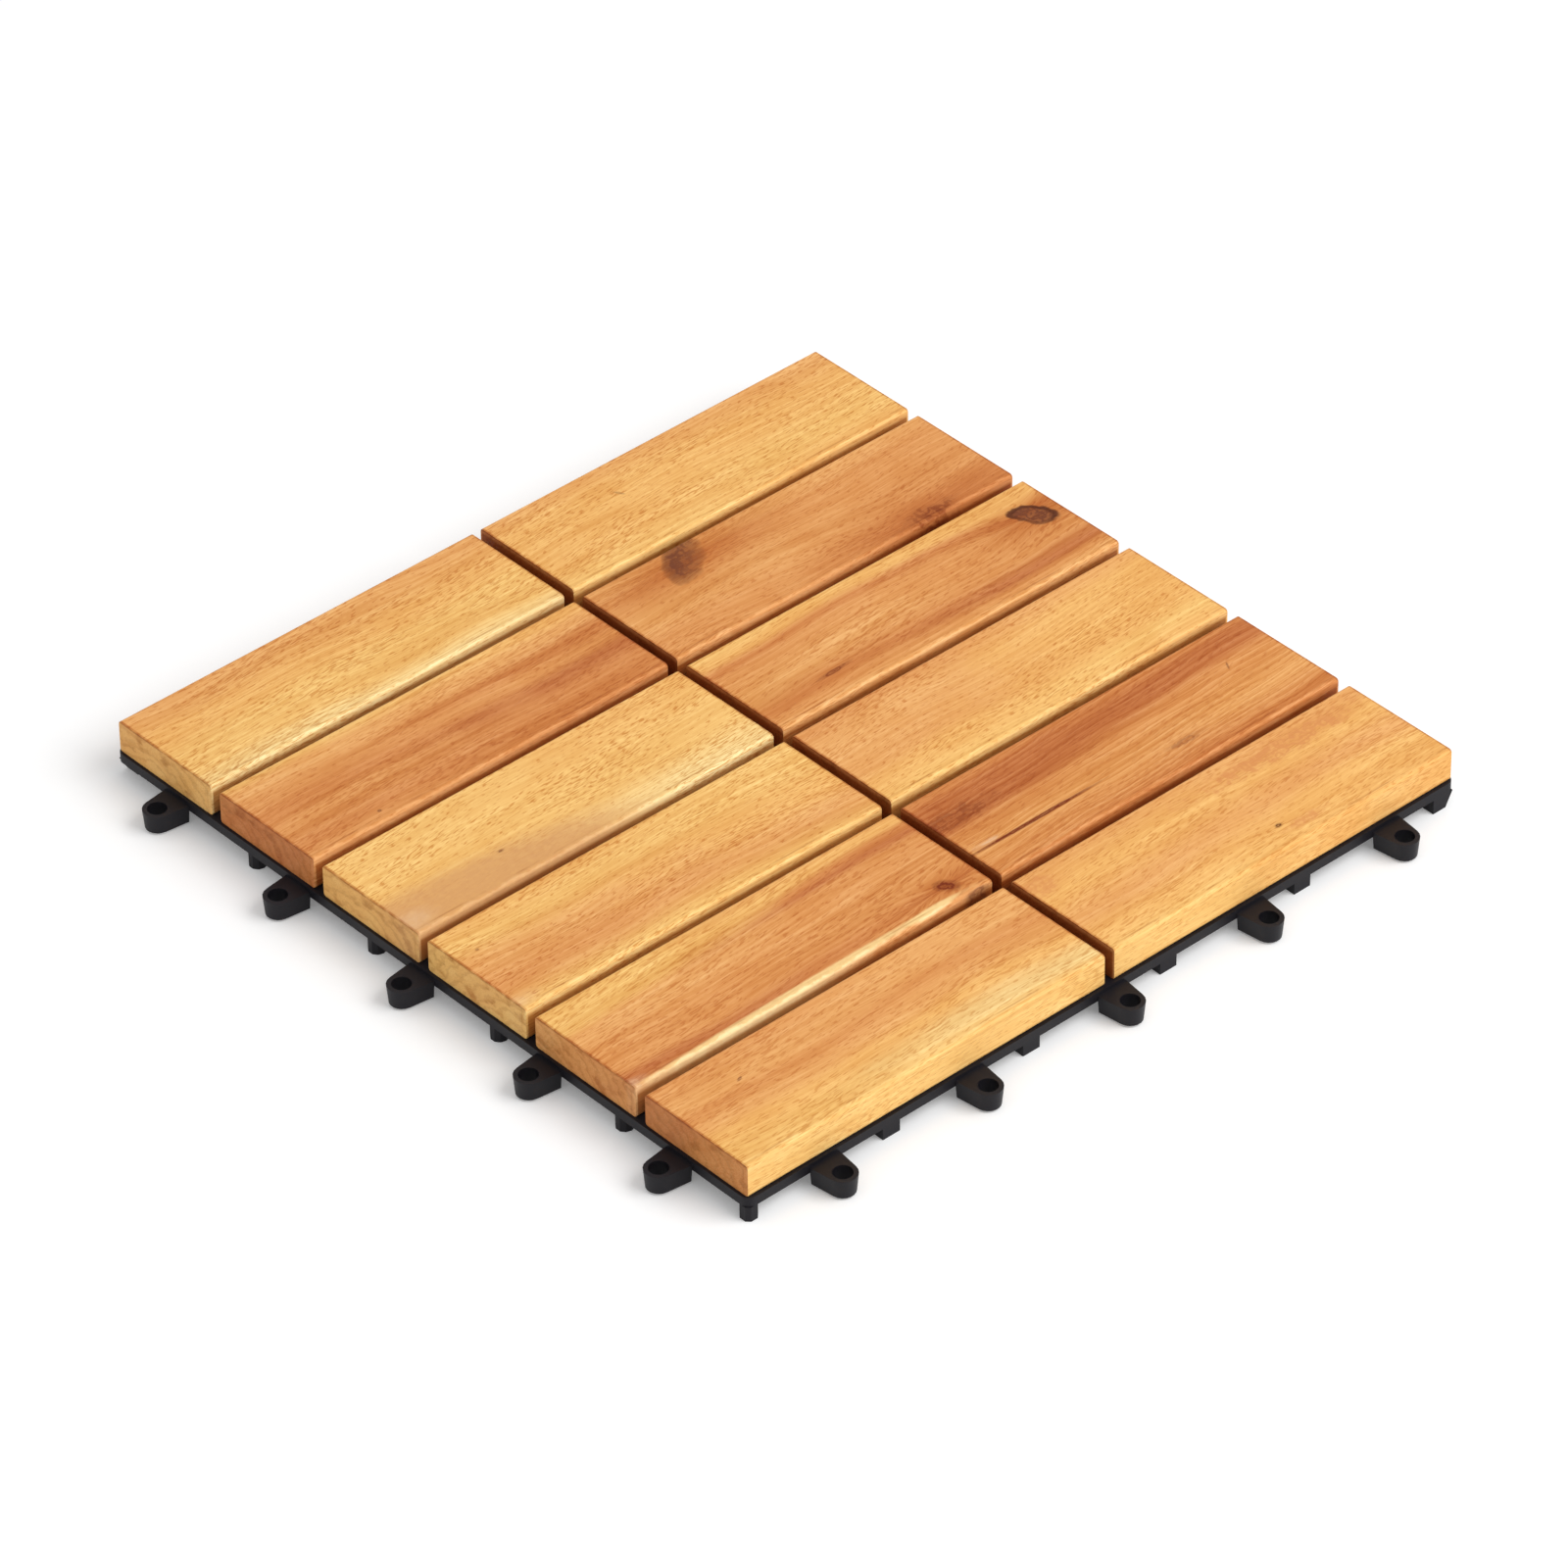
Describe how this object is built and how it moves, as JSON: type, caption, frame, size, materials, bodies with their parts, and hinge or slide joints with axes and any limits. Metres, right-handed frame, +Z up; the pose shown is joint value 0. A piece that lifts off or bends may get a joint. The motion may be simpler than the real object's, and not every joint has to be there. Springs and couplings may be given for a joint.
{
  "type": "interlocking deck tile",
  "caption": "Square outdoor floor tile: hardwood slats screwed to a plastic grid that stands on small feet, with holed loops on two sides and pins under the other two.",
  "frame": {"origin": "on the floor, at the bottom of the stud under the middle of the wood", "axes": "+X along the slats; +Y across them, from the side with loops to the side with pins; +Z up, out of the walking face"},
  "size_m": [0.3151, 0.3151, 0.021],
  "materials": {
    "wood_golden": "oiled, satin",
    "wood_brown": "oiled, satin",
    "wood_pale": "oiled, satin",
    "grid_plastic": "fine moulded texture",
    "screw_coating": "black coated"
  },
  "bodies": {
    "root": {"base_grid": "grid_plastic", "slat_a1": "wood_golden", "slat_a2": "wood_brown", "slat_a3": "wood_pale", "slat_a4": "wood_golden", "slat_a5": "wood_brown", "slat_a6": "wood_golden", "slat_b1": "wood_golden", "slat_b2": "wood_golden", "slat_b3": "wood_brown", "slat_b4": "wood_pale", "slat_b5": "wood_brown", "slat_b6": "wood_golden", "slat_screws": "screw_coating"}
  },
  "joints": []
}
